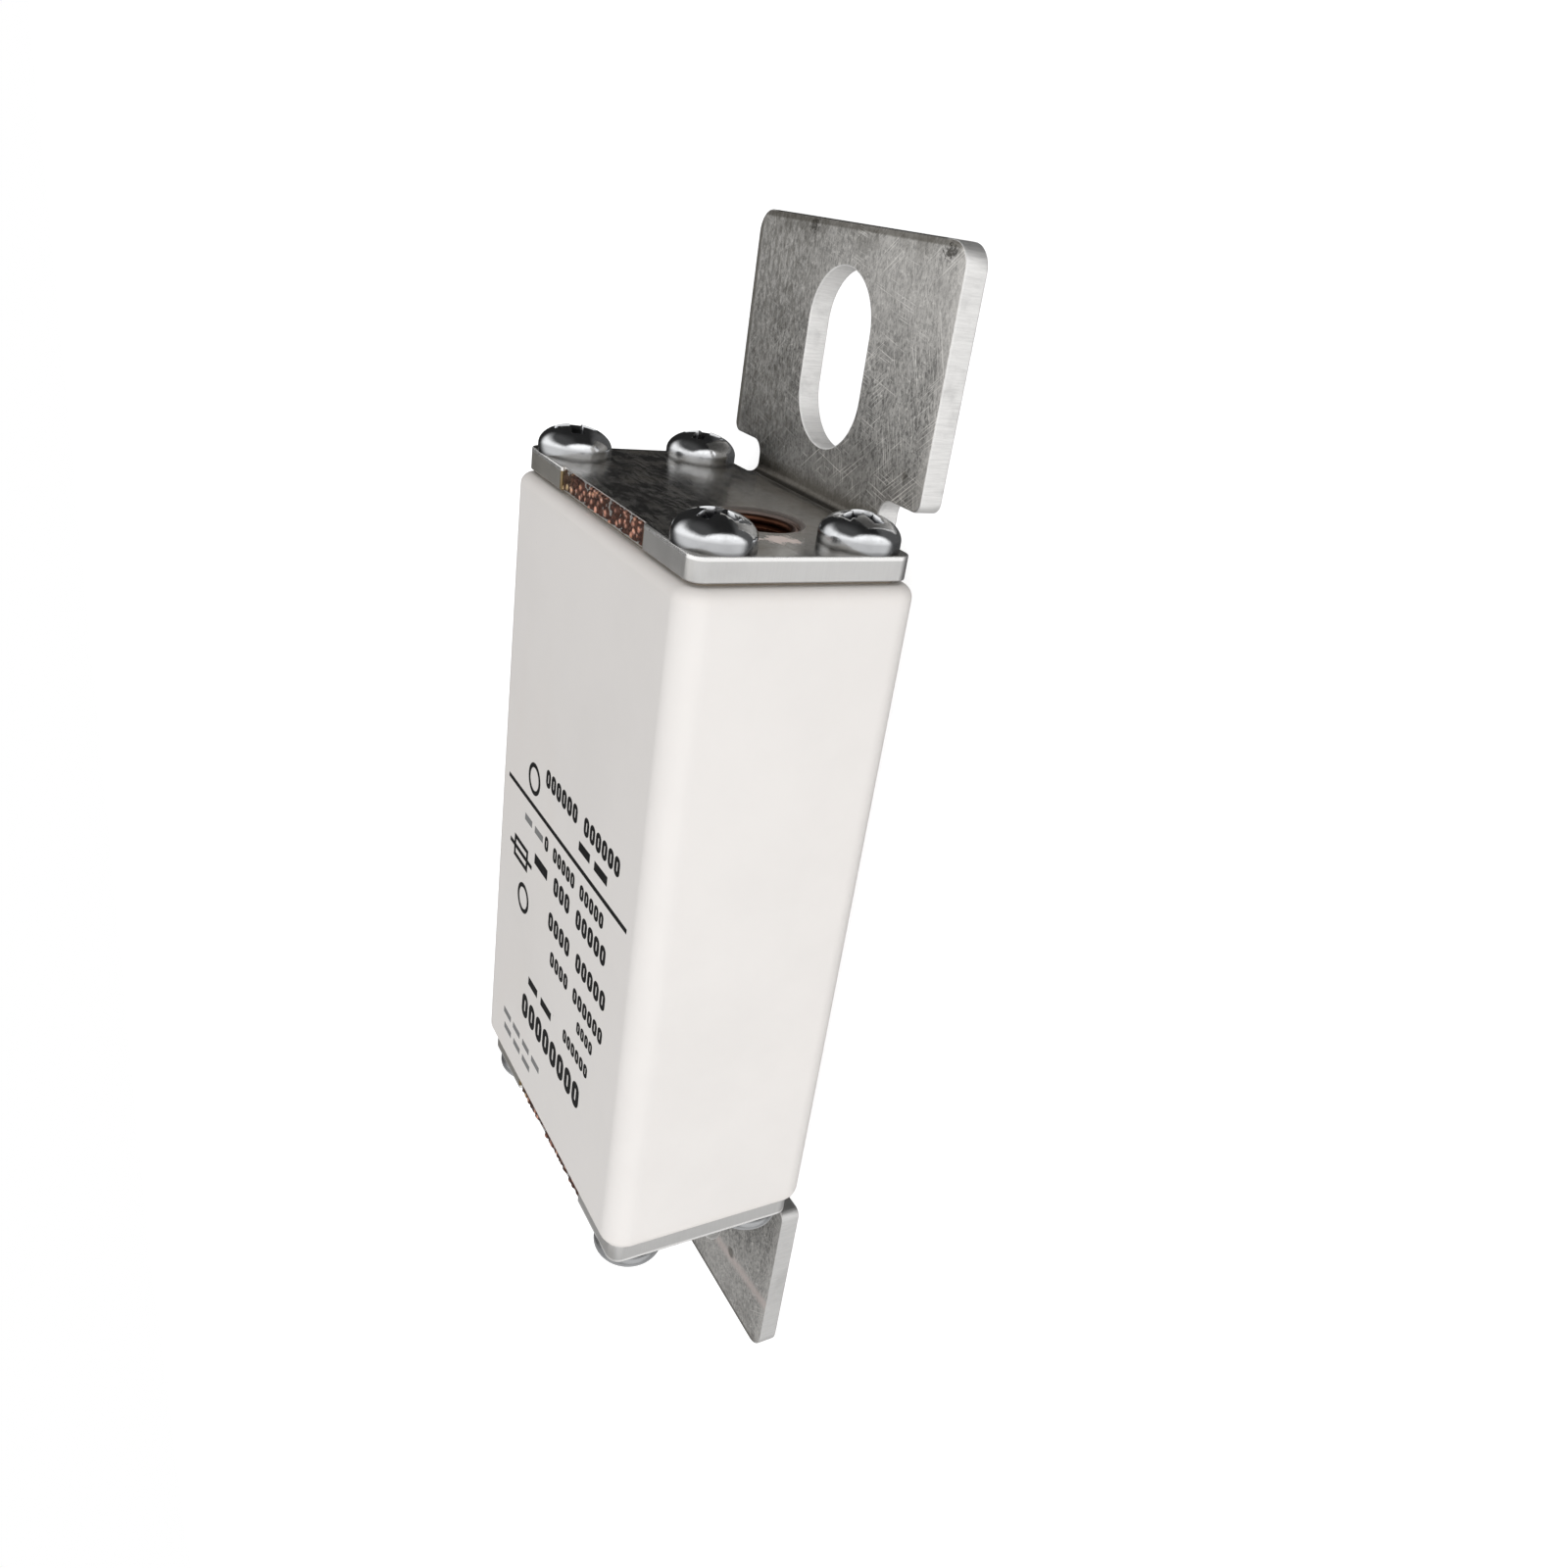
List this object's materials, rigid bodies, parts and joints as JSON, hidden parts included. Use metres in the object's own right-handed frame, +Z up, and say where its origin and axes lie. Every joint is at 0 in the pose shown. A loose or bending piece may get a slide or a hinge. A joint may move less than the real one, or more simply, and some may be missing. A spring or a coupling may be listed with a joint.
{
  "type": "high-speed fuse link",
  "caption": "Square ceramic high-speed fuse link with bent, slotted tin-plated terminals for bolting flat to busbars, with its screws, plugs, elements and sand.",
  "frame": {"origin": "midway between the two tags, in the plane of their mounting faces", "axes": "+X along the fuse, +Y across it along the slots' short side, +Z up out of the mounting plane, towards the marked wide face"},
  "size_m": [0.111, 0.0368, 0.0226],
  "materials": {
    "ceramic": "smooth white satin steatite",
    "tin_plate": "tin-plated copper sheet, rolled and scuffed",
    "bare_copper": "bare copper, dull",
    "zinc_steel": "bright zinc-plated steel",
    "silver_strip": "rolled silver",
    "fibre": "pressed fibre",
    "sand": "bonded quartz sand"
  },
  "bodies": {
    "root": {"ceramic_body": "ceramic", "right_terminal": "tin_plate", "left_terminal": "tin_plate", "right_gasket": "fibre", "left_gasket": "fibre", "right_contact": "bare_copper", "left_contact": "bare_copper", "right_filler_plug": "bare_copper", "left_filler_plug": "bare_copper", "right_screws": "zinc_steel", "left_screws": "zinc_steel", "fuse_element_1": "silver_strip", "fuse_element_2": "silver_strip", "fuse_element_3": "silver_strip", "fuse_element_4": "silver_strip", "fuse_element_5": "silver_strip", "quartz_sand": "sand"}
  },
  "joints": []
}
